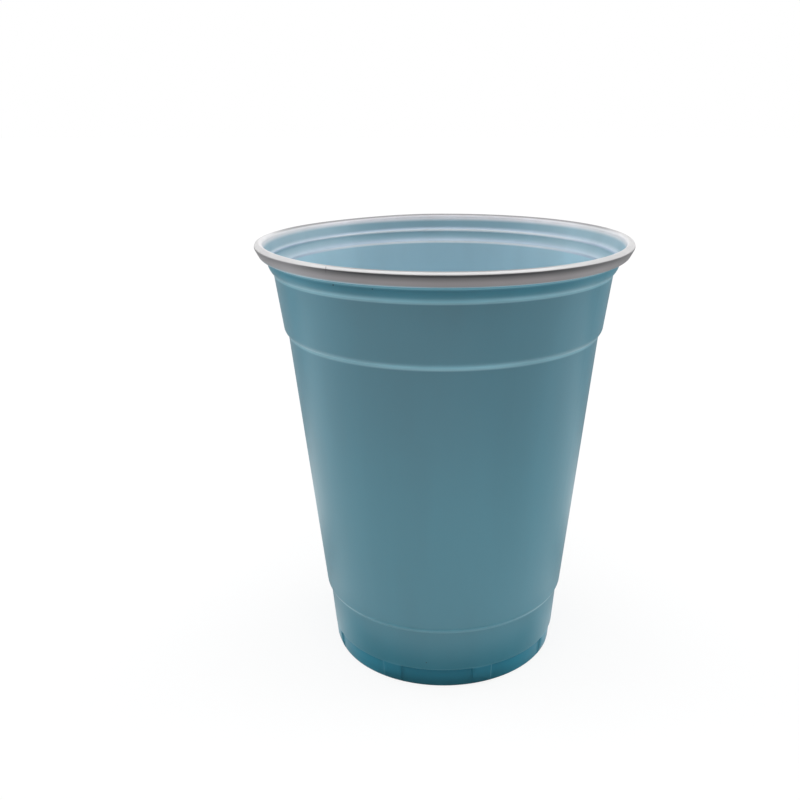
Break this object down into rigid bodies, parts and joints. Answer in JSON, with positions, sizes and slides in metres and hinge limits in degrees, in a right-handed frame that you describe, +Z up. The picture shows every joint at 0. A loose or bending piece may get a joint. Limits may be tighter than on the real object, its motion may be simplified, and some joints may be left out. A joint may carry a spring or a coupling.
{
  "type": "party cup",
  "caption": "Tapered round drinking cup in thin plastic, with a rolled rim, stacking ledges, a raised floor and a panelled foot ring.",
  "frame": {"origin": "centre of the ring that the cup stands on, in the standing plane", "axes": "+Z up along the cup's axis, through the middle of the mouth; -Y to the front"},
  "size_m": [0.098, 0.098, 0.1159],
  "materials": {
    "cup_plastic": "smooth satin plastic, greyish blue outside, paler inside, the rolled rim off-white"
  },
  "bodies": {
    "root": {"cup": "cup_plastic"}
  },
  "joints": []
}
